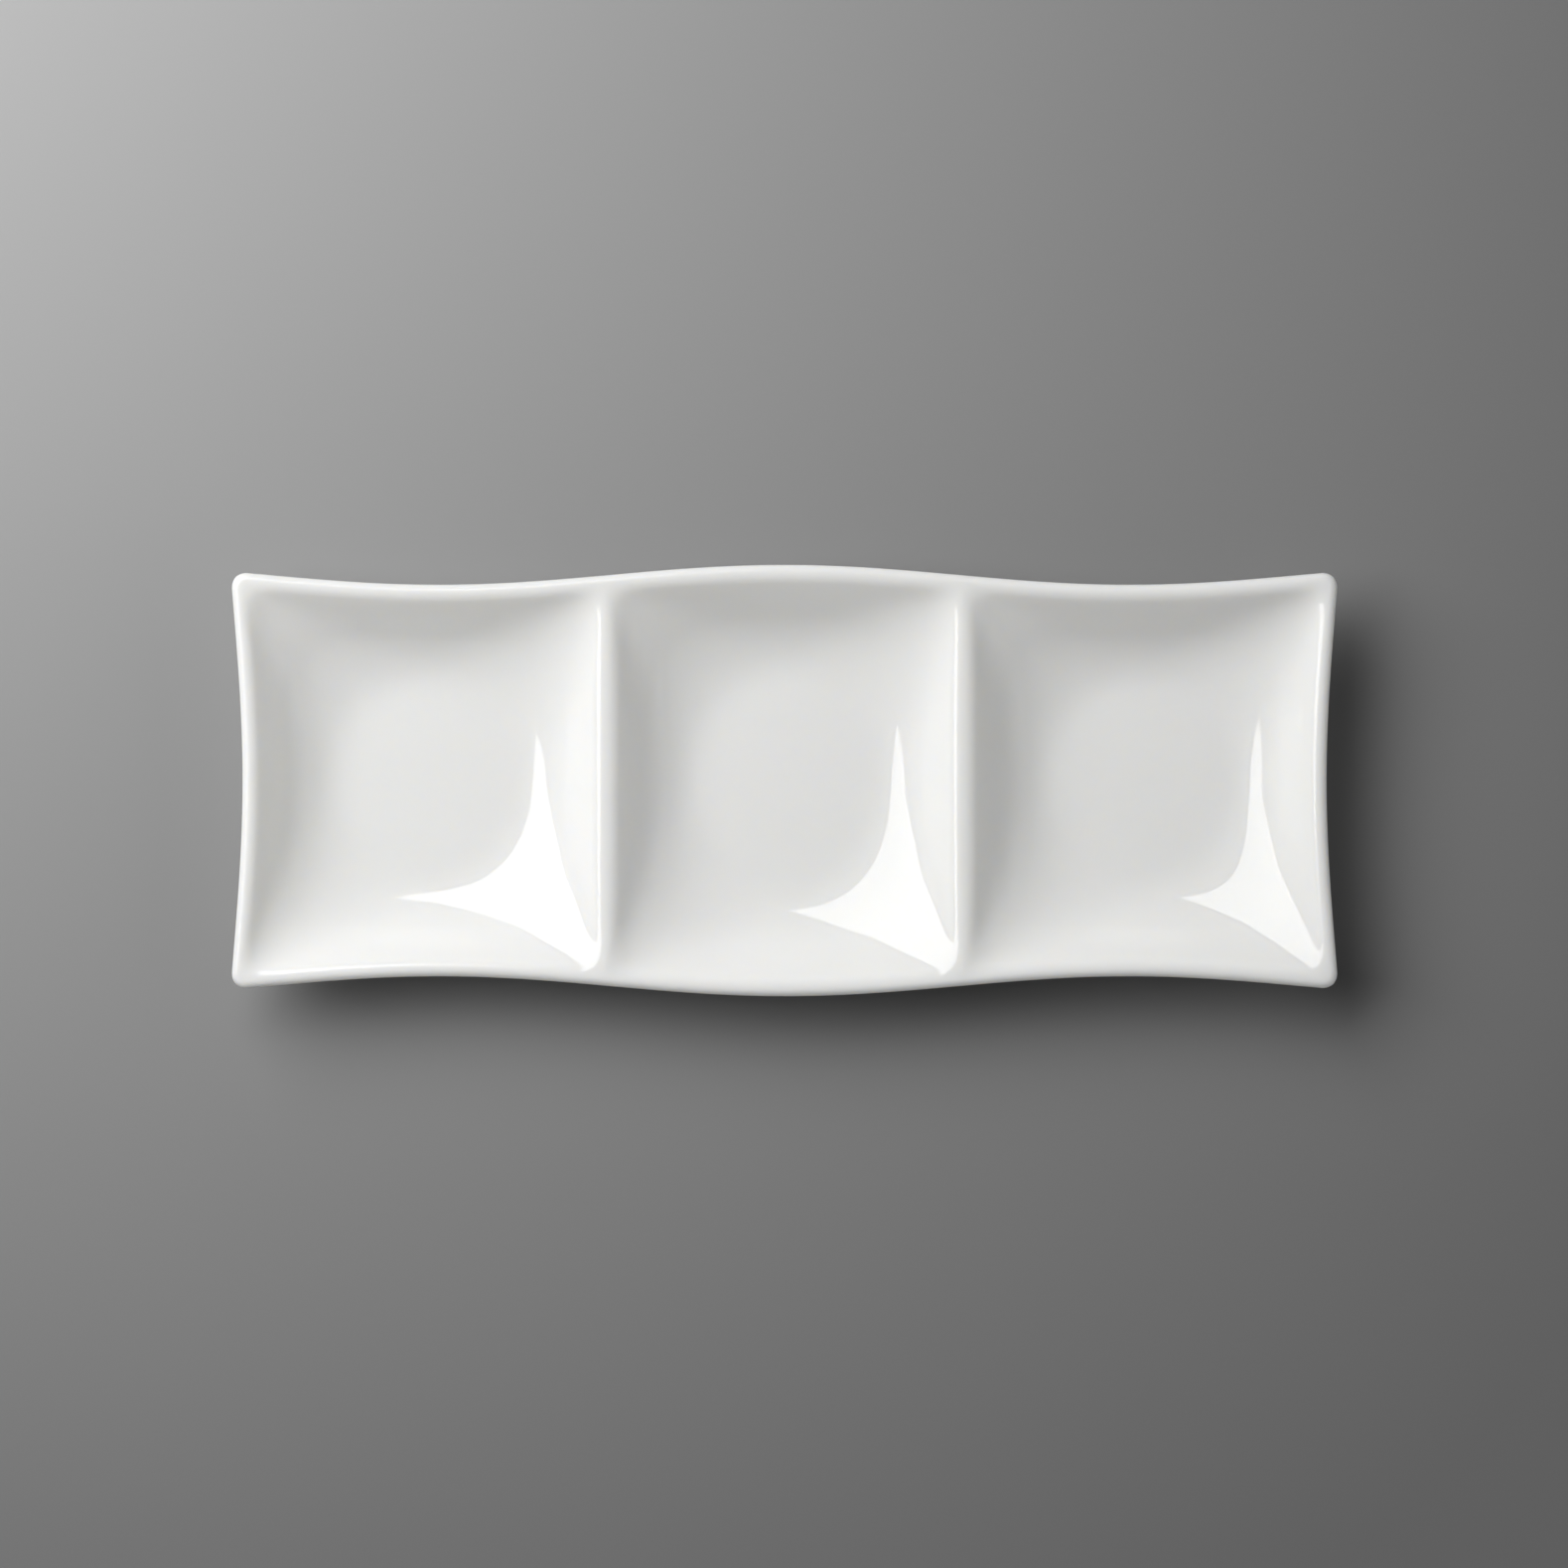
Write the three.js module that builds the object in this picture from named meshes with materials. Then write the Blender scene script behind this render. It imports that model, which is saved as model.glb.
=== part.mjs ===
// Divided serving dish, one body of glazed porcelain with three wells in a row.
// Millimetres, +Z up. The long side lies along X, and the origin is on the table,
// under the middle of the dish.
import * as THREE from 'three';
import { mergeVertices } from 'three/addons/utils/BufferGeometryUtils.js';

// Driving dimensions of the outline, seen from above
const overallWidth = 114;
const waistWidth = 103.5;
const waistStation = 91.2;
const middleLength = 286.4;
const endWaveHeight = 2.38;
const endWaveStation = 91.2;
const cornerRadius = 4.8;
const dividerStation = 47.2;

// Driving dimensions of the section through a well
const overallHeight = 21.7;
const wellDepth = 14.8;
const wallThickness = 4.3;
const coveRadius = 20.5;
const rimCrestRadius = 3.4;
const dividerCrestRadius = 5.4;
const wallAngle = THREE.MathUtils.degToRad(46);
const valleyReach = 5;

// Driving dimensions of a well's round corners
const crestOpenShare = 0.03;
const crestOpenReach = 0.8;

// Driving dimensions of the foot under each well
const footReach = 26.5;
const footWidth = 2.6;
const footFlank = 1.8;
const footEdge = 0.5;

// How finely the round stretches are cut
const coveSteps = 6;
const crestSteps = 4;
const lipSteps = 6;
const wallSteps = 4;
const sideShares = [0, 0.2, 0.4, 0.6, 0.78, 0.92, 0.965, 1];
const weldDistance = 0.001;

// Lengths that follow from the driving dimensions
const wallSine = Math.sin(wallAngle);
const wallCosine = Math.cos(wallAngle);
const wallTangent = Math.tan(wallAngle);
const floorLevel = overallHeight - wellDepth;
const footHeight = floorLevel - wallThickness;
const bendRise = (rimCrestRadius + coveRadius) * (1 - wallCosine);
const straightRun = (wellDepth - bendRise) / wallTangent;
const floorStart = straightRun + (rimCrestRadius + coveRadius) * wallSine;
const coveRun = coveRadius * wallSine;
const lipRadius = (wallThickness - rimCrestRadius * (1 - wallCosine)) / (1 + wallCosine);
const lipTurn = Math.PI - wallAngle;
const lipReach = lipRadius * Math.sin(lipTurn);
const outerCoveRadius = coveRadius + wallThickness;
const outerCoveRun = outerCoveRadius * wallSine;
const outerCoveRise = outerCoveRadius * (1 - wallCosine);

// The long edges swing out round the middle well and in at the two waists.
function halfWidthAt(x) {
  const mean = (overallWidth + waistWidth) / 4;
  const swing = (overallWidth - waistWidth) / 4;
  return mean + swing * Math.cos(Math.PI * x / waistStation);
}

// The short edges are drawn in at the middle and flare towards the corners.
function halfLengthAt(y) {
  return middleLength / 2 + endWaveHeight * (1 - Math.cos(Math.PI * y / endWaveStation));
}

const cornerHalfWidth = halfWidthAt(halfLengthAt(waistWidth / 2));

// Plan position of a point of one well. The well is -1, 0 or 1, and p and q run from
// -1 to 1 along and across it. The inset is measured in from the outer edge of the dish.
function planPoint(well, p, q, inset) {
  const end = halfLengthAt(q * cornerHalfWidth) - inset;
  const outward = (1 + p * well) / 2;
  let x = p * dividerStation;
  if (well !== 0) x = well * (dividerStation + outward * (end - dividerStation));
  const edge = halfWidthAt(x) - inset;
  let y = q * edge;

  // The square corner of the grid is bent on to the round corner of the dish.
  const radius = cornerRadius - inset;
  const s = 1 - (end - Math.abs(x)) / radius;
  const t = 1 - (edge - Math.abs(y)) / radius;
  if (s > 0 && t > 0) {
    x = Math.sign(x) * (end - radius * (1 - s * Math.sqrt(1 - t * t / 2)));
    y = Math.sign(y) * (edge - radius * (1 - t * Math.sqrt(1 - s * s / 2)));
  }
  return [x, y];
}

// Points round the unit square, in order, with the sides divided as sideShares says.
function squareBoundary() {
  const side = [...sideShares.slice(1).reverse().map((share) => -share), ...sideShares];
  const steps = side.slice(0, -1);
  return [
    ...steps.map((share) => [1, share]),
    ...steps.map((share) => [-share, 1]),
    ...steps.map((share) => [-1, -share]),
    ...steps.map((share) => [share, -1]),
  ];
}

// How far a well's contour line has opened at a distance in from the crest, from 0 for a
// square to 1 for a circle. The crest itself is square, the corners open a little at once
// beside it, and the line round the floor is a circle.
function openShare(distance) {
  const beside = crestOpenShare * (1 - Math.exp(-distance / crestOpenReach));
  const t = Math.min(1, distance / floorStart);
  return beside + (1 - beside) * t * t * (3 - 2 * t);
}

// The contour line at a share of the way out goes smoothly from a square to a circle. It is
// met in the direction of a point of the unit square.
function contourPoint(share, [squareP, squareQ]) {
  const length = Math.hypot(squareP, squareQ);
  const doubleSine = 2 * squareP * squareQ / length ** 2;
  const open = openShare((1 - share) * dividerStation);
  const root = Math.sqrt(Math.max(0, 1 - (1 - open ** 2) * doubleSine ** 2));
  const reach = share * Math.sqrt(2 / (1 + root)) / length;
  return [reach * squareP, reach * squareQ];
}

// Height of the inside over the floor at a distance in from the crest: flat floor, round
// cove, straight wall, and a crest rolled to the given radius.
function insideHeight(distance, crestRadius) {
  const rollRun = crestRadius * wallSine;
  const run = Math.max(0, floorStart - Math.max(distance, rollRun));
  const bend = Math.min(run, coveRun);
  const wall = coveRadius - Math.sqrt(coveRadius ** 2 - bend ** 2) + (run - bend) * wallTangent;
  if (distance >= rollRun) return wall;
  return wall + Math.sqrt(crestRadius ** 2 - distance ** 2) - crestRadius * wallCosine;
}

// How far a point of a well belongs to a divider, from 0 at the rim to 1 at mid divider.
function dividerShare(well, p, q) {
  const inward = well === 0 ? Math.abs(p) : Math.max(0, -p * well);
  return inward ** 2 * (1 - q ** 4);
}

// Level of the inside. The wall is the same all round, and a divider's wider roll makes it
// lower than the rim.
function insideLevel(well, p, q, distance) {
  const rim = insideHeight(distance, rimCrestRadius);
  const divider = insideHeight(distance, dividerCrestRadius);
  return floorLevel + rim + (divider - rim) * dividerShare(well, p, q);
}

// Distances in from the crest at which the inside has its rings, from the middle outwards
function insideRings() {
  const rings = [dividerStation];
  for (let i = 0; i <= coveSteps; i += 1) {
    rings.push(floorStart - coveRadius * Math.sin(wallAngle * i / coveSteps));
  }
  for (let i = 0; i <= crestSteps; i += 1) {
    rings.push(dividerCrestRadius * Math.sin(wallAngle * (1 - i / crestSteps)));
  }
  return rings;
}

// Height of the shell's underside, one wall thickness behind the inside surface, at a
// distance in from the crest line. It is negative past the crest, under the lip.
function shellLevel(distance) {
  const run = floorStart - distance;
  if (run <= 0) return footHeight;
  if (run < outerCoveRun) {
    return footHeight + outerCoveRadius - Math.sqrt(outerCoveRadius ** 2 - run ** 2);
  }
  return footHeight + outerCoveRise + (run - outerCoveRun) * wallTangent;
}

// The underside of a point of a well. Towards the rim the shell runs on to the lip, and
// towards a divider it ends at the divider's centre line, in a rounded valley.
function undersideLevel(well, p, q, share) {
  const inward = well === 0 ? Math.abs(p) : Math.max(0, -p * well);
  const rimShare = 1 - inward ** 2 * (1 - q ** 2);
  const past = lipReach * rimShare;
  const distance = (1 - share) * (dividerStation + past) - past;
  const fromDivider = (1 - inward) * dividerStation;
  const fill = Math.max(0, valleyReach - fromDivider) ** 2 / (2 * valleyReach);
  return shellLevel(distance) - wallTangent * (1 - q ** 2) * fill;
}

// Rings of the underside as a share of the way out and a height, where the foot has its
// own. The other rings take their height from the shell.
function undersideRings() {
  const shareAt = (reach) => reach / dividerStation;
  const inner = footReach - footWidth / 2;
  const outer = footReach + footWidth / 2;
  const rings = [
    { share: 0, level: footHeight },
    { share: shareAt(inner - footFlank), level: footHeight },
    { share: shareAt(inner - footEdge), level: footEdge },
    { share: shareAt(inner), level: 0 },
    { share: shareAt(outer), level: 0 },
    { share: shareAt(outer + footEdge), level: footEdge },
  ];
  const first = shareAt(outer + footFlank);
  const last = 1 - valleyReach / dividerStation;
  for (let i = 0; i <= coveSteps; i += 1) {
    rings.push({ share: first + (last - first) * i / coveSteps });
  }
  for (let i = 1; i <= wallSteps; i += 1) {
    rings.push({ share: last + (1 - last) * i / wallSteps });
  }
  return rings;
}

// The skin is gathered as loose triangles and welded at the end.
const corners = [];

function addTriangle(a, b, c) {
  const thin = [[a, b], [b, c], [c, a]].some(([from, to]) => from.distanceTo(to) < weldDistance);
  if (!thin) corners.push(...a.toArray(), ...b.toArray(), ...c.toArray());
}

// Two rows of points are joined by a strip. Seen from outside, both rows run to the right
// and the upper one lies above.
function addStrip(lower, upper) {
  for (let i = 0; i + 1 < lower.length; i += 1) {
    addTriangle(lower[i], lower[i + 1], upper[i + 1]);
    addTriangle(lower[i], upper[i + 1], upper[i]);
  }
}

function addWell(well) {
  const boundary = squareBoundary();
  const loop = [...boundary, boundary[0]];

  const topRows = insideRings().map((distance) => loop.map((point) => {
    const [p, q] = contourPoint(1 - distance / dividerStation, point);
    const z = insideLevel(well, p, q, distance);
    return new THREE.Vector3(...planPoint(well, p, q, lipRadius), z);
  }));
  for (let i = 0; i + 1 < topRows.length; i += 1) addStrip(topRows[i + 1], topRows[i]);

  const bottomRows = undersideRings().map(({ share, level }) => loop.map((point) => {
    const [p, q] = contourPoint(share, point);
    const z = level ?? undersideLevel(well, p, q, share);
    return new THREE.Vector3(...planPoint(well, p, q, lipRadius - lipReach), z);
  }));
  for (let i = 0; i + 1 < bottomRows.length; i += 1) addStrip(bottomRows[i], bottomRows[i + 1]);

  // The lip rolls over from the crest to the underside on every side but a divider's.
  const isDivider = ([p]) => Math.abs(p) === 1 && p !== well;
  for (let i = 0; i + 1 < loop.length; i += 1) {
    const pair = [loop[i], loop[i + 1]];
    if (pair.every(isDivider)) continue;
    const rows = [];
    for (let step = 0; step <= lipSteps; step += 1) {
      const turn = lipTurn * step / lipSteps;
      const inset = lipRadius * (1 - Math.sin(turn));
      const z = overallHeight - lipRadius * (1 - Math.cos(turn));
      rows.push(pair.map(([p, q]) => new THREE.Vector3(...planPoint(well, p, q, inset), z)));
    }
    for (let step = 0; step < lipSteps; step += 1) addStrip(rows[step + 1], rows[step]);
  }
}

function dishGeometry() {
  [-1, 0, 1].forEach(addWell);
  const loose = new THREE.BufferGeometry();
  loose.setAttribute('position', new THREE.Float32BufferAttribute(corners, 3));
  const welded = mergeVertices(loose, weldDistance);
  welded.computeVertexNormals();
  return welded;
}

const glaze = new THREE.MeshStandardMaterial({ color: 0xf1f1ec, roughness: 0.12, metalness: 0 });

const dish = new THREE.Mesh(dishGeometry(), glaze);
dish.name = 'dish';

const group = new THREE.Group();
group.add(dish);

export default group;
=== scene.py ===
# %% [markdown]
# Divided porcelain dish
#
# The object is a long white serving dish, fired in one piece: a wavy rim, three wells in a
# row, two rolled dividers between them and a foot ring under each well. This lesson loads
# the measured frame of the dish, works out its skin with numpy, gives it a glaze, and sets
# up a table, a softbox and a camera that looks straight down.

from math import atan, cos, degrees, pi, radians, sin, tan

import bpy
import numpy as np
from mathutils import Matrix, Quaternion, Vector


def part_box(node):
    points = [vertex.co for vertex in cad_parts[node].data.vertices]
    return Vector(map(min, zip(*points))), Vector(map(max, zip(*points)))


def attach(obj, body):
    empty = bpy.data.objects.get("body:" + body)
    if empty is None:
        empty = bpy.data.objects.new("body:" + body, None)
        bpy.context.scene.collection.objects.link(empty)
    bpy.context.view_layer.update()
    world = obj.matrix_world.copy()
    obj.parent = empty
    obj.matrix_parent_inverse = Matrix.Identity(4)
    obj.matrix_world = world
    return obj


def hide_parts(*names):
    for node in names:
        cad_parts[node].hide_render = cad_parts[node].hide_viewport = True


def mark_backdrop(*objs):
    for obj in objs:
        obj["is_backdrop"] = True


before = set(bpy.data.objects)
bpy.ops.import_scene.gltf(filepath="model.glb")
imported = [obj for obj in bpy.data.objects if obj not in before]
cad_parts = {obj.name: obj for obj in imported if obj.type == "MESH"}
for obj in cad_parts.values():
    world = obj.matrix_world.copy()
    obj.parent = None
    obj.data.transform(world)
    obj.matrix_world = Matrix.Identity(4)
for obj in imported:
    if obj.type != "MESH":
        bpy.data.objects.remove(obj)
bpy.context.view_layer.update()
dish_low, dish_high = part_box("dish")


def in_mm(metres):
    """A length as text in millimetres."""
    return f"{metres * 1000:.2f} mm"


print("frame box from", [in_mm(v) for v in dish_low], "to", [in_mm(v) for v in dish_high])

# %% [markdown]
# Sizes
#
# Every length is in metres and has one name. The width and height are read from the frame,
# and the others are the sizes that a modeller of such a dish would write on the drawing,
# first of the plan and then of the section through a well. What follows from them is
# worked out here once, such as where the flat floor starts and how tightly the lip rolls.

# %% Sizes of the plan
overall_width = dish_high[1] - dish_low[1]
waist_width = 0.1035
waist_station = 0.0912
middle_length = 0.2864
end_wave_height = 0.00238
end_wave_station = 0.0912
corner_radius = 0.0048
divider_station = 0.0472
print("width over all", in_mm(overall_width), "and at a waist", in_mm(waist_width))

# %% Sizes of the section
overall_height = dish_high[2] - dish_low[2]
well_depth = 0.0148
wall_thickness = 0.0043
cove_radius = 0.0205
rim_crest_radius = 0.0034
divider_crest_radius = 0.0054
wall_angle = radians(46)

floor_level = overall_height - well_depth
foot_height = floor_level - wall_thickness
bend_rise = (rim_crest_radius + cove_radius) * (1 - cos(wall_angle))
straight_run = (well_depth - bend_rise) / tan(wall_angle)
floor_start = straight_run + (rim_crest_radius + cove_radius) * sin(wall_angle)
print("the flat floor starts", in_mm(floor_start), "inside the crest")

# %% Sizes of the lip
lip_radius = (wall_thickness - rim_crest_radius * (1 - cos(wall_angle))) / (1 + cos(wall_angle))
lip_turn = pi - wall_angle
lip_reach = lip_radius * sin(lip_turn)
print("the lip has a radius of", in_mm(lip_radius))

# %% [markdown]
# The plan
#
# Seen from above, the long edges swing out round the middle well and in at the two waists,
# and the short edges are drawn in at the middle. A curve object could trace that outline,
# but a formula gives every inner line as well: the same function places the lip, the crest
# and the walls, each by how far it is inset from the edge.

# %% Plan of the outline and of each well
def half_width_at(x):
    """Mean half width plus a cosine that peaks at the middle and dips at each waist."""
    mean = (overall_width + waist_width) / 4
    swing = (overall_width - waist_width) / 4
    return mean + swing * np.cos(pi * x / waist_station)


def half_length_at(y):
    """Half the middle length plus a cosine wave that grows towards the corners."""
    return middle_length / 2 + end_wave_height * (1 - np.cos(pi * y / end_wave_station))


corner_half_width = half_width_at(half_length_at(waist_width / 2))


def plan_points(well, p, q, inset):
    """Place of the point (p, q) of a well, both from -1 to 1, with the edge moved in by inset.

    x runs evenly from the divider to the end, and y is q times the half width there. Near
    an outer corner, with s and t the shares from the centre of the corner's arc, the square
    corner goes on to the round one as s * sqrt(1 - t²/2), t * sqrt(1 - s²/2).
    """
    end = half_length_at(q * corner_half_width) - inset
    x = p * divider_station
    if well != 0:
        x = well * (divider_station + (1 + p * well) / 2 * (end - divider_station))
    edge = half_width_at(x) - inset
    y = q * edge
    radius = corner_radius - inset
    s = 1 - (end - np.abs(x)) / radius
    t = 1 - (edge - np.abs(y)) / radius
    round_x = np.sign(x) * (end - radius * (1 - s * np.sqrt(np.maximum(0, 1 - t * t / 2))))
    round_y = np.sign(y) * (edge - radius * (1 - t * np.sqrt(np.maximum(0, 1 - s * s / 2))))
    in_corner = (s > 0) & (t > 0)
    return np.where(in_corner, round_x, x), np.where(in_corner, round_y, y)


print("half width at a waist:", in_mm(half_width_at(waist_station)))

# %% [markdown]
# The grid of a well
#
# A well is round at the bottom and square at the crest. A lofted surface through a few
# hand-drawn rings could do that, but its corners would wrinkle. Here one formula holds the
# square, the circle and every shape between them, and another says how far a contour line
# has opened at each distance from the crest. So the creases in the corners fade out by
# themselves towards the floor.

# %% Spokes
spokes_per_side = 64
corner_gather = 0.7


def square_boundary():
    """Points once round the unit square, closer together near its corners.

    Each side runs through t + gather * (sin(t * pi / 2) - t) for t from -1 to 1.
    """
    t = np.linspace(-1, 1, spokes_per_side, endpoint=False)
    side = t + corner_gather * (np.sin(t * pi / 2) - t)
    one = np.ones_like(side)
    return np.concatenate([
        np.stack([one, side], axis=1),
        np.stack([-side, one], axis=1),
        np.stack([-one, -side], axis=1),
        np.stack([side, -one], axis=1),
    ])


print("spokes in each well:", len(square_boundary()))

# %% Contour lines
crest_open_share = 0.06
crest_open_reach = 0.0008
least_open_share = 1e-9


def open_share(distance):
    """How far a contour line has opened at a distance in from the crest: 0 square, 1 circle.

    Next to the crest it rises by a share of 1 - exp(-distance / reach). The rest is
    t² (3 - 2t), with t the share of the way to the floor.
    """
    beside = crest_open_share * (1 - np.exp(-distance / crest_open_reach))
    t = np.clip(distance / floor_start, 0, 1)
    return beside + (1 - beside) * t**2 * (3 - 2 * t)


def contour_grid(shares):
    """Points (p, q) of the contour lines at these shares of the way out, one row for each.

    A line is a superellipse, |p|^n + |q|^n = share^n. The exponent n = 2 / log2(1 + open) is
    2 for a circle and grows without end towards a square. With k the shorter part of a
    ray's direction over the longer, the ray meets the line at
    share / (longer * (1 + k^n)^(1/n)).
    """
    boundary = square_boundary()
    direction = boundary / np.linalg.norm(boundary, axis=1, keepdims=True)
    longer, shorter = np.sort(np.abs(direction), axis=1).T[::-1]
    share = np.asarray(shares)[:, None]
    opened = np.maximum(least_open_share, open_share((1 - share) * divider_station))
    exponent = 2 / np.log2(1 + opened)
    reach = share / (longer * (1 + (shorter / longer) ** exponent) ** (1 / exponent))
    return reach * direction[:, 0], reach * direction[:, 1]


print(f"half way down, a contour line has opened by {open_share(floor_start / 2):.2f}")

# %% [markdown]
# The section of a well
#
# A cut through a well shows a flat floor, a round cove, a straight wall and a rolled crest,
# which is broader on a divider than on the rim. A poured glaze never shows where an arc
# meets a straight, because it softens the joint. So the slope of the section is drawn
# first, averaged over a short reach, and only then added up into heights.

# %% Slope of the inside
def inside_slope(distance, crest_radius):
    """Slope at a distance from the crest: crest arc, straight wall, cove arc, then zero.

    On an arc of radius r, the slope at a run s from its level end is s / sqrt(r² - s²).
    """
    crest_run = np.minimum(np.abs(distance), crest_radius * sin(wall_angle))
    crest = crest_run / np.sqrt(crest_radius**2 - crest_run**2)
    cove_run = np.clip(floor_start - np.abs(distance), 0, cove_radius * sin(wall_angle))
    cove = cove_run / np.sqrt(cove_radius**2 - cove_run**2)
    return np.sign(distance) * np.minimum(crest, cove)


def running_mean(values, step, reach):
    """Each value becomes the mean of its neighbours within half the reach, weighted by a
    raised cosine."""
    half = max(1, int(reach / step / 2))
    window = 1 + np.cos(np.linspace(-pi, pi, 2 * half + 1))
    return np.convolve(values, window / window.sum(), mode="same")


print(f"slope of the straight wall: {inside_slope(straight_run, rim_crest_radius):.2f}")

# %% Heights of the inside
section_samples = 4000
crest_soft_reach = 0.0010
floor_soft_reach = 0.0100
soft_change_start = 0.010
soft_change_end = 0.016

section_distance = np.linspace(-divider_station, divider_station, section_samples)
section_step = section_distance[1] - section_distance[0]


def added_up(slope):
    """Heights over the floor: the slope times the step, added up from the floor outwards."""
    return np.cumsum(slope[::-1])[::-1] * section_step


def section_heights(crest_radius):
    """Heights of the softened section, scaled so that the crest keeps its height."""
    slope = inside_slope(section_distance, crest_radius)
    near_crest = running_mean(slope, section_step, crest_soft_reach)
    near_floor = running_mean(slope, section_step, floor_soft_reach)
    change = (section_distance - soft_change_start) / (soft_change_end - soft_change_start)
    t = np.clip(change, 0, 1)
    soft = near_crest + (near_floor - near_crest) * t * t * (3 - 2 * t)
    return added_up(soft) * added_up(slope).max() / added_up(soft).max()


rim_heights = section_heights(rim_crest_radius)
divider_heights = section_heights(divider_crest_radius)
rim_level = floor_level + float(np.interp(0, section_distance, rim_heights))
print("rim at", in_mm(rim_level))

# %% Level of the inside
def divider_share(well, p, q):
    """How far a point belongs to a divider: p² (1 - q⁴), and 0 on the side of an end."""
    inward = np.abs(p) if well == 0 else np.maximum(0, -p * well)
    return inward**2 * (1 - q**4)


def inside_level(well, p, q, distance):
    """Height of the inside: the rim's section, blended into the divider's by its share."""
    rim = np.interp(distance, section_distance, rim_heights)
    divider = np.interp(distance, section_distance, divider_heights)
    return floor_level + rim + (divider - rim) * divider_share(well, p, q)


print("middle of a divider at", in_mm(float(inside_level(0, 1.0, 0.0, 0.0))))

# %% [markdown]
# The underside
#
# Nobody sees it on the table, but it decides how thin the dish looks from the side. The
# shell keeps one thickness, so the underside follows the same section, one wall further
# out. Under a divider the shells of two wells meet in a rounded valley, and the foot ring
# is pressed out of the shell along the well's own contour lines.

# %% Shell under a well
def shell_level(distance):
    """Level bottom, then the cove one wall thickness further out, then the straight wall."""
    radius = cove_radius + wall_thickness
    turn_run = radius * sin(wall_angle)
    run = np.clip(floor_start - distance, 0, None)
    cove_run = np.minimum(run, turn_run)
    cove_rise = radius - np.sqrt(radius**2 - cove_run**2)
    return foot_height + cove_rise + (run - cove_run) * tan(wall_angle)


print("recess inside the foot is", in_mm(foot_height), "deep")

# %% Foot ring
foot_reach = 0.0265
foot_width = 0.0026
foot_flank = 0.0018
foot_edge_reach = 0.0009

foot_samples = np.linspace(0, divider_station, section_samples)
foot_shape = np.interp(
    foot_samples - foot_reach,
    [-foot_width / 2 - foot_flank, -foot_width / 2, foot_width / 2, foot_width / 2 + foot_flank],
    [0, 1, 1, 0],
)
foot_shape = running_mean(foot_shape, foot_samples[1], foot_edge_reach)
print("foot ring from middle to middle:", in_mm(2 * foot_reach))

# %% Level of the underside
valley_reach = 0.005


def underside_level(well, p, q, share):
    """Shell level, less a parabola that rounds the valley under a divider, less the foot.

    The distance from the crest runs on past it under the lip, by a reach that fades out
    towards the divider as 1 - p² (1 - q²).
    """
    inward = np.abs(p) if well == 0 else np.maximum(0, -p * well)
    past = lip_reach * (1 - inward**2 * (1 - q**2))
    distance = (1 - share) * (divider_station + past) - past
    from_divider = (1 - inward) * divider_station
    fill = np.maximum(0, valley_reach - from_divider) ** 2 / (2 * valley_reach)
    shell = shell_level(distance) - tan(wall_angle) * (1 - q**2) * fill
    return shell * (1 - np.interp(share * divider_station, foot_samples, foot_shape))


print("top of the valley at", in_mm(float(underside_level(0, 1.0, 0.0, 1.0))))

# %% [markdown]
# From grids to one skin
#
# Each well gives three patches: the inside, the lip on its outer sides, and the underside.
# They share their border points, because the same formulas made them, so rounding the
# places and keeping each one once welds the patches into a single closed skin. The rings
# of a patch lie closer together where the surface turns more tightly.

# %% Rings
def rings(*stretches):
    """Even steps along stretches given as start, end and number of steps, and the last end."""
    steps = [np.linspace(start, end, count, endpoint=False) for start, end, count in stretches]
    return np.append(np.concatenate(steps), stretches[-1][1])


inside_rings = rings(
    (divider_station, floor_start, 8),
    (floor_start, divider_crest_radius, 32),
    (divider_crest_radius, 0, 19),
)
foot_start = (foot_reach - foot_width - foot_flank) / divider_station
foot_end = (foot_reach + foot_width + foot_flank) / divider_station
valley_start = 1 - valley_reach / divider_station
underside_rings = rings(
    (0, foot_start, 4),
    (foot_start, foot_end, 24),
    (foot_end, valley_start, 8),
    (valley_start, 1, 6),
)
print(len(inside_rings), "rings inside a well and", len(underside_rings), "under it")

# %% Patches and weld
weld_size = 1e-6


def patch_triangles(rows, columns, first, closed):
    """Two triangles for each cell of a grid of points that are numbered row by row."""
    row, column = np.meshgrid(
        np.arange(rows - 1), np.arange(columns if closed else columns - 1), indexing="ij"
    )
    beside = (column + 1) % columns
    a = first + row * columns + column
    b = first + row * columns + beside
    c = a + columns
    d = b + columns
    lower = np.stack([a, b, d], axis=-1).reshape(-1, 3)
    upper = np.stack([a, d, c], axis=-1).reshape(-1, 3)
    return np.concatenate([lower, upper])


class Skin:
    """Gathers patches of points and welds them into one list of points and triangles."""

    def __init__(self):
        self.points, self.triangles, self.count = [], [], 0

    def add(self, x, y, z, closed, flip):
        grid = np.stack(np.broadcast_arrays(x, y, z), axis=-1)
        rows, columns = grid.shape[:2]
        triangles = patch_triangles(rows, columns, self.count, closed)
        self.points.append(grid.reshape(-1, 3))
        self.triangles.append(triangles[:, ::-1] if flip else triangles)
        self.count += rows * columns

    def welded(self):
        points = np.concatenate(self.points)
        keys = np.round(points / weld_size).astype(np.int64)
        _, first, number = np.unique(keys, axis=0, return_index=True, return_inverse=True)
        triangles = number.reshape(-1)[np.concatenate(self.triangles)]
        a, b, c = triangles.T
        whole = (a != b) & (b != c) & (c != a)
        return points[first], triangles[whole]


print(f"places are rounded to {weld_size * 1e6:.0f} thousandth of a millimetre for the weld")

# %% The patches of a well
lip_steps = 14
# The sides of the unit square, counted round from +p, that lie on the rim of each well.
rim_sides = {-1: (1, 2, 3), 0: (1, 3), 1: (0, 1, 3)}


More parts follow.
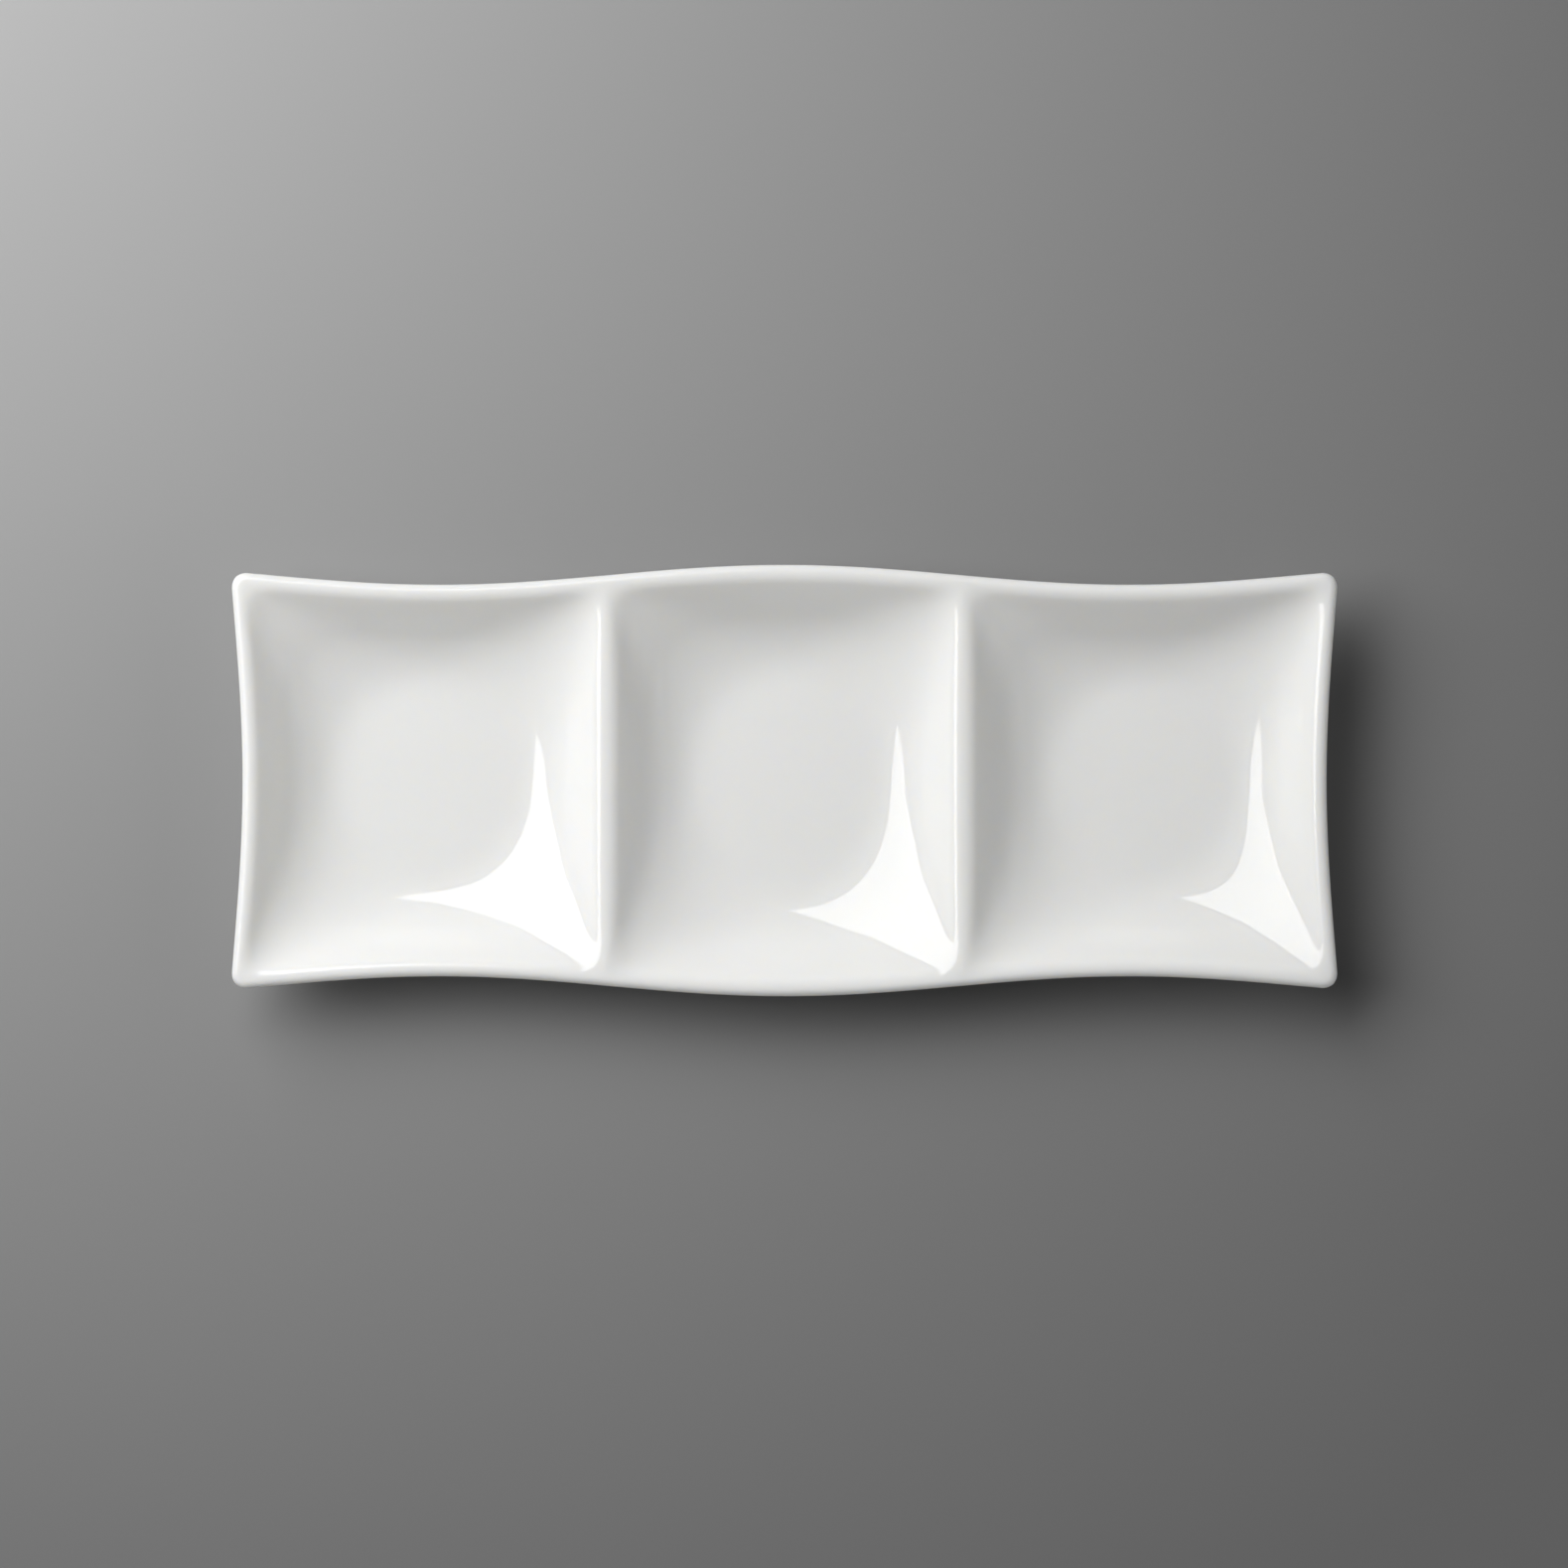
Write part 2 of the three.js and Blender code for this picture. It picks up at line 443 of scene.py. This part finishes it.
def add_inside(skin, well):
    """The contour lines of the inside, from the middle of the floor out to the crest."""
    p, q = contour_grid(1 - inside_rings / divider_station)
    x, y = plan_points(well, p, q, lip_radius)
    z = inside_level(well, p, q, inside_rings[:, None])
    skin.add(x, y, z, closed=True, flip=True)


def add_underside(skin, well):
    """The contour lines of the underside, which end where the lip ends."""
    p, q = contour_grid(underside_rings)
    x, y = plan_points(well, p, q, lip_radius - lip_reach)
    z = underside_level(well, p, q, underside_rings[:, None])
    skin.add(x, y, z, closed=True, flip=False)


def add_lip(skin, well):
    """The lip turns over from the crest: inset r (1 - sin turn), drop r (1 - cos turn)."""
    boundary = square_boundary()
    turn = np.linspace(0, lip_turn, lip_steps + 1)[:, None]
    inset = lip_radius * (1 - np.sin(turn))
    z = rim_level - lip_radius * (1 - np.cos(turn))
    for side in rim_sides[well]:
        pick = np.arange(side * spokes_per_side, (side + 1) * spokes_per_side + 1)
        p, q = boundary[pick % len(boundary)].T
        x, y = plan_points(well, p[None, :], q[None, :], inset)
        skin.add(x, y, z, closed=False, flip=True)


skin = Skin()
for well in rim_sides:
    add_inside(skin, well)
    add_lip(skin, well)
    add_underside(skin, well)
dish_points, dish_triangles = skin.welded()
print("skin:", len(dish_points), "points,", len(dish_triangles), "triangles")

# %% [markdown]
# The dish as an object
#
# The arrays go into a mesh in one call each, and every face is shaded smooth. The piece
# stands for the plain solid of the frame, so it lies exactly where that solid is.

# %% Make the mesh object
def mesh_object(name, points, triangles):
    """A smooth mesh object at the origin from an array of points and one of triangles."""
    mesh = bpy.data.meshes.new(name)
    mesh.vertices.add(len(points))
    mesh.vertices.foreach_set("co", points.astype(np.float32).ravel())
    mesh.loops.add(triangles.size)
    mesh.loops.foreach_set("vertex_index", triangles.astype(np.int32).ravel())
    mesh.polygons.add(len(triangles))
    mesh.polygons.foreach_set("loop_start", np.arange(0, triangles.size, 3, dtype=np.int32))
    mesh.polygons.foreach_set("use_smooth", np.ones(len(triangles), dtype=bool))
    mesh.update(calc_edges=True)
    mesh.validate()
    made = bpy.data.objects.new(name, mesh)
    bpy.context.scene.collection.objects.link(made)
    return made


def enclosed_volume(points, triangles):
    """Sum over the triangles of a · (b × c) / 6, which is positive if they face outwards."""
    a, b, c = (points[triangles[:, k]] for k in range(3))
    return float(np.einsum("ij,ij->", a, np.cross(b, c)) / 6)


dish = mesh_object("porcelain_dish", dish_points, dish_triangles)
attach(dish, "root")
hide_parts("dish")
print(f"clay in the dish: {enclosed_volume(dish_points, dish_triangles) * 1e6:.1f} cm³")

# %% [markdown]
# Shader maths as Python
#
# A glaze needs a few sums on coordinates. Wiring Math nodes one by one hides the sum, so a
# small class wraps a socket, and the usual signs add the nodes. Any other node is made by
# one method that takes its type, its settings and its socket values.

# %% Socket arithmetic
class Wire:
    """A socket of a node tree on which + - * / and ** make Math nodes."""

    def __init__(self, shader, socket):
        self.shader, self.socket = shader, socket

    def part(self, name):
        """Another output of the node that this wire comes from."""
        return Wire(self.shader, self.socket.node.outputs[name])

    def math(self, operation, first, second, clamp=False):
        settings = {"operation": operation, "use_clamp": clamp}
        return self.shader.node("ShaderNodeMath", settings, {0: first, 1: second})

    def __add__(self, other):
        return self.math("ADD", self, other)

    def __sub__(self, other):
        return self.math("SUBTRACT", self, other)

    def __rsub__(self, other):
        return self.math("SUBTRACT", other, self)

    def __mul__(self, other):
        return self.math("MULTIPLY", self, other)

    def __truediv__(self, other):
        return self.math("DIVIDE", self, other)

    def __rpow__(self, other):
        return self.math("POWER", other, self)

    __radd__ = __add__
    __rmul__ = __mul__

    def clamped(self):
        return self.math("ADD", self, 0.0, clamp=True)

    def between(self, low, high):
        return self.math("MINIMUM", self.math("MAXIMUM", self, low), high)


print("a Wire adds a Math node for each sign, and one more where it is clamped")

# %% Trees of materials and worlds
class Shader:
    """The node tree of a material or a world, and the one method that adds nodes to it."""

    def __init__(self, owner, surface):
        owner.use_nodes = True
        self.tree = owner.node_tree
        self.surface = self.tree.nodes[surface]

    def node(self, kind, settings, values, output=0):
        made = self.tree.nodes.new(kind)
        for key, value in settings.items():
            setattr(made, key, value)
        for key, value in values.items():
            self.feed(made.inputs[key], value)
        return Wire(self, made.outputs[output])

    def feed(self, socket, value):
        if isinstance(value, Wire):
            self.tree.links.new(value.socket, socket)
        else:
            socket.default_value = value

    def set(self, **values):
        for key, value in values.items():
            self.feed(self.surface.inputs[key.replace("_", " ")], value)

    def coordinates(self, output):
        """The place or direction that is shaded, split into its parts X, Y and Z."""
        place = self.node("ShaderNodeTexCoord", {}, {}, output=output)
        return place, self.node("ShaderNodeSeparateXYZ", {}, {0: place})

    def noise(self, place, scale, detail):
        values = {"Vector": place, "Scale": scale, "Detail": detail}
        return self.node("ShaderNodeTexNoise", {}, values)

    def mix_colour(self, factor, first, second):
        values = {"Factor": factor, 6: first, 7: second}
        return self.node("ShaderNodeMix", {"data_type": "RGBA"}, values, output=2)


print("a Shader adds every other node with its method named node")

# %% [markdown]
# Clay and specks
#
# The body is white clay with a faint cloudiness, and here and there a speck of iron has
# burnt out under the glaze. A painted image could hold the specks, but a Voronoi pattern
# gives them for nothing: a cell gets a small spot in its middle if its random colour is
# high enough, which is true of few cells.

# %% Clay colour
clay_white = (0.925, 0.925, 0.908, 1)
clay_cloud = (0.908, 0.910, 0.892, 1)
cloud_scale = 22.0
cloud_detail = 3.0
cloud_contrast = 2.5
cloud_offset = 0.75
speck_colour = (0.330, 0.320, 0.300, 1)


def clay_colour(shader, place, speck):
    """White clay, clouded where a noise times the contrast passes the offset, and specks."""
    cloud = shader.noise(place, cloud_scale, cloud_detail) * cloud_contrast - cloud_offset
    clay = shader.mix_colour(cloud.clamped(), clay_white, clay_cloud)
    return shader.mix_colour(speck, clay, speck_colour)


print("clay from", clay_white[:3], "to", clay_cloud[:3])

# %% Specks
speck_cells_per_metre = 70.0
speck_radius = 0.018
speck_edge = 120.0
speck_least_red = 0.9
speck_red_gain = 40.0


def specks(shader, place):
    """1 in a spot of the given radius, in cells, where the cell's random red is high."""
    settings = {"feature": "F1", "distance": "EUCLIDEAN"}
    values = {"Vector": place, "Scale": speck_cells_per_metre, "Randomness": 1.0}
    cell = shader.node("ShaderNodeTexVoronoi", settings, values)
    red = shader.node("ShaderNodeSeparateColor", {}, {0: cell.part("Color")}, output="Red")
    spot = ((speck_radius - cell.part("Distance")) * speck_edge).clamped()
    return spot * ((red - speck_least_red) * speck_red_gain).clamped()


print("a speck is about", in_mm(2 * speck_radius / speck_cells_per_metre), "across")

# %% [markdown]
# Glaze
#
# Over the clay lies a clear glaze, glossy but poured, so its surface swells a few
# thousandths of a millimetre and dips at a speck. It is wiped off the lands of the foot
# rings before firing, or the dish would stick to the kiln shelf, and there the clay is bare
# and matt. One material holds all of it, because the glaze and the clay are fused, and the
# height over the table says where the clay is bare.

# %% Glaze sizes
glaze_roughness = 0.012
smear_roughness = 0.012
smear_scale = 9.0
smear_detail = 2.0
swell_height = 0.00002
swell_scale = 38.0
swell_detail = 1.0
speck_dip = 0.00002
glaze_refraction = 1.45
clay_depth = 0.0028
clay_scatter = (1.0, 0.95, 0.85)
print("glaze roughness from", glaze_roughness, "to", glaze_roughness + smear_roughness)

# %% Bare clay on the feet
bare_clay = (0.700, 0.680, 0.635, 1)
bare_height = 0.00035
bare_fade = 0.00015
bare_roughness = 0.62
grain_height = 0.00003
grain_scale = 2600.0
grain_detail = 2.0
print("the clay is bare up to", in_mm(bare_height), "over the table")

# %% Glaze material
def glazed_porcelain():
    """White clay with specks under a glossy glaze, and bare clay on the lands of the feet."""
    material = bpy.data.materials.new("glazed_porcelain")
    shader = Shader(material, "Principled BSDF")
    place, parts = shader.coordinates("Object")
    bare = ((bare_height - parts.part("Z")) / bare_fade).clamped()
    speck = specks(shader, place)
    colour = shader.mix_colour(bare, clay_colour(shader, place, speck), bare_clay)

    smear = shader.noise(place, smear_scale, smear_detail)
    roughness = glaze_roughness + smear_roughness * smear + bare * bare_roughness

    swell = shader.noise(place, swell_scale, swell_detail)
    grain = shader.noise(place, grain_scale, grain_detail)
    relief = swell * swell_height + grain * bare * grain_height - speck * speck_dip
    bump_values = {"Strength": 1.0, "Distance": 1.0, "Height": relief}
    normal = shader.node("ShaderNodeBump", {}, bump_values)

    shader.set(Base_Color=colour, Roughness=roughness, Normal=normal, IOR=glaze_refraction)
    shader.set(Subsurface_Weight=1.0, Subsurface_Radius=clay_scatter)
    shader.set(Subsurface_Scale=clay_depth)
    return material


dish.data.materials.append(glazed_porcelain())
print("material of the dish:", dish.data.materials[0].name)

# %% [markdown]
# Table
#
# The dish stands on a plain matt grey table. Its paint holds a painted pool of light: palest
# towards the softbox at the back left, and darker to the front right and to both sides. Light
# that falls off could do that too, but then it would also change along the dish. So the
# painted grey itself changes slowly, by one formula in x and y.

# %% Table
# The grey, the reaches and the bounds below paint a pool of light into the table's colour,
# brightest towards the softbox at the back left.
table_grey = 0.268
painted_light_palest = 0.46
painted_light_darkest = 0.17
painted_light_along_reach = 0.545
painted_light_across_reach = 0.67
table_black = (0, 0, 0, 1)
table_white = (1, 1, 1, 1)
table_roughness = 0.8
table_size = 8.0


def table_paint_with_painted_light():
    """Matt grey paint with a painted pool of light. The grey halves at each reach along the
    diagonal from the back left to the front right, and falls off to both sides of it as half
    to the square of a reach."""
    material = bpy.data.materials.new("table_paint_with_painted_light")
    shader = Shader(material, "Principled BSDF")
    _, parts = shader.coordinates("Object")
    x, y = parts.part("X"), parts.part("Y")
    across = (x + y) / painted_light_across_reach
    # Painted light: the grey falls off from the back left, like light from the softbox.
    grey_with_painted_light = table_grey * 0.5 ** ((x - y) / painted_light_along_reach + across * across)
    clamped_painted_light_grey = grey_with_painted_light.between(painted_light_darkest, painted_light_palest)
    colour = shader.mix_colour(clamped_painted_light_grey, table_black, table_white)
    shader.set(Base_Color=colour, Roughness=table_roughness)
    return material


def table_top():
    """A square of four points at the height of the feet."""
    half = table_size / 2
    points = np.array([[-half, -half, 0], [half, -half, 0], [half, half, 0], [-half, half, 0]])
    made = mesh_object("table_top", points, np.array([[0, 1, 2], [0, 2, 3]]))
    made.data.materials.append(table_paint_with_painted_light())
    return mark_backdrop(made)


table_top()
print("table is", table_size, "m wide")

# %% [markdown]
# Light
#
# One large softbox at the back left gives the soft shadow at the front right and the
# sharp-edged panes of light inside each well. A sun or a small lamp would give a hard
# shadow and a mere dot in the glaze. An upright reflector on the right and a weak fill from
# the front keep the walls that face them from going dark.

# %% Softbox and reflector
softbox_place = Vector((-0.730, 0.558, 0.911))
softbox_width = 1.40
softbox_height = 1.00
softbox_roll = -0.09
softbox_radiance = 4.92
reflector_place = Vector((1.50, 0.0, 0.76))
reflector_width = 3.0
reflector_height = 1.5
reflector_radiance = 0.62


def panel(name, place, aim, roll, width, height, radiance):
    """A rectangle of even radiance L that faces aim. Its power is pi times L times its area."""
    data = bpy.data.lights.new(name, "AREA")
    data.shape = "RECTANGLE"
    data.size = width
    data.size_y = height
    data.energy = pi * radiance * width * height
    made = bpy.data.objects.new(name, data)
    made.location = place
    turn = (aim - place).to_track_quat("-Z", "Y") @ Quaternion((0, 0, 1), roll)
    made.rotation_euler = turn.to_euler()
    bpy.context.scene.collection.objects.link(made)


rim_centre = Vector((0, 0, overall_height))
panel("softbox", rim_centre + softbox_place, rim_centre, softbox_roll,
      softbox_width, softbox_height, softbox_radiance)
panel("reflector", reflector_place, Vector((0, 0, reflector_place.z)), 0.0,
      reflector_width, reflector_height, reflector_radiance)
print(f"softbox centre is {softbox_place.length:.2f} m from the dish")

# %% Fill
fill_front = 0.6
horizon_fade = 0.5
fill_colour = (1, 1, 1, 1)


def fill():
    """World light from the front: with unit directions, (front - fade * height), squared."""
    world = bpy.data.worlds.new("studio")
    shader = Shader(world, "Background")
    _, way = shader.coordinates("Generated")
    front = (0.0 - way.part("Y") - way.part("Z") * horizon_fade).clamped()
    shader.set(Color=fill_colour, Strength=front * front * fill_front)
    bpy.context.scene.world = world


fill()
bpy.context.scene.view_settings.view_transform = "Standard"
print("fill from the front", fill_front)

# %% [markdown]
# Camera
#
# The camera hangs straight above the dish and far away with a long lens, so that the walls
# aren't seen at a slant. A near camera would show more of the outer walls at both ends. The
# scale follows from how many pixels the dish's length takes in the picture.

# %% Camera
photo_pixels = 1579
dish_centre_pixel = (790, 786)
dish_length_pixels = 1114
camera_height = 2.5
sensor_millimetres = 36.0


def overhead_camera():
    """Straight down, at a scale that gives the dish its length in the picture."""
    overall_length = dish_high[0] - dish_low[0]
    pixel = overall_length / dish_length_pixels
    across = (photo_pixels / 2 - dish_centre_pixel[0]) * pixel
    up = (dish_centre_pixel[1] - photo_pixels / 2) * pixel
    data = bpy.data.cameras.new("overhead")
    data.sensor_width = sensor_millimetres
    data.lens = sensor_millimetres * camera_height / (pixel * photo_pixels)
    made = bpy.data.objects.new("overhead", data)
    made.location = (across, up, overall_height + camera_height)
    bpy.context.scene.collection.objects.link(made)
    bpy.context.scene.camera = made
    return data.lens


lens = overhead_camera()
view_angle = degrees(2 * atan(sensor_millimetres / 2 / lens))
print(f"lens {lens:.0f} mm, view angle {view_angle:.1f}°")
